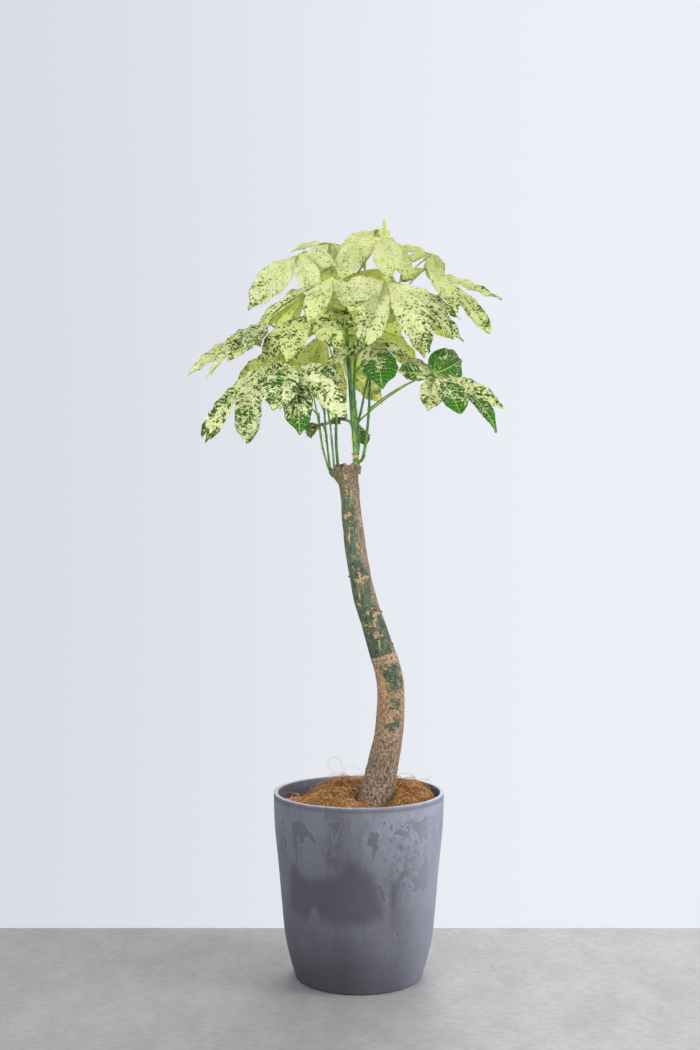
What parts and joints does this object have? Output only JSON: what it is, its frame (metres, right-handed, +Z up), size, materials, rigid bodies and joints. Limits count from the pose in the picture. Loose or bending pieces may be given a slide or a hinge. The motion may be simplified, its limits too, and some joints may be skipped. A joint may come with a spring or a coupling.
{
  "type": "potted money tree",
  "caption": "Variegated money tree: a thick bent trunk with thin green shoots and palmate leaves, in a round stone-look pot topped with coir.",
  "frame": {"origin": "middle of the pot's flat bottom", "axes": "+Z up along the pot's axis, front towards -Y, the trunk's bow towards +X"},
  "size_m": [0.5504, 0.4763, 1.3222],
  "materials": {
    "stone_pot": "matt stone-look resin, blue-grey with a pale wash and darker patches",
    "soil": "dark crumbly potting soil",
    "coir": "loose orange-brown coconut fibre",
    "bark": "grey-green to grey-brown bark with tan scars",
    "green_stem": "smooth young green shoots",
    "leaf": "thin satin leaf, cream-yellow with green flecks"
  },
  "bodies": {
    "root": {"pot": "stone_pot", "soil": "soil", "coir_mulch": "coir", "trunk": "bark", "shoot_1": "green_stem", "shoot_2": "green_stem", "shoot_3": "green_stem", "shoot_4": "green_stem", "shoot_fork": "green_stem", "leaf_01": "leaf", "leaf_02": "leaf", "leaf_03": "leaf", "leaf_04": "leaf", "leaf_05": "leaf", "leaf_06": "leaf", "leaf_07": "leaf", "leaf_08": "leaf", "leaf_09": "leaf", "leaf_10": "leaf", "leaf_11": "leaf", "leaf_12": "leaf", "leaf_13": "leaf", "leaf_14": "leaf", "leaf_15": "leaf", "leaf_16": "leaf", "leaf_17": "leaf", "leaf_18": "leaf", "leaf_19": "leaf", "leaf_20": "leaf", "leaf_21": "leaf", "leaf_22": "leaf", "leaf_23": "leaf", "leaf_24": "leaf", "leaf_25": "leaf", "leaf_26": "leaf"}
  },
  "joints": []
}
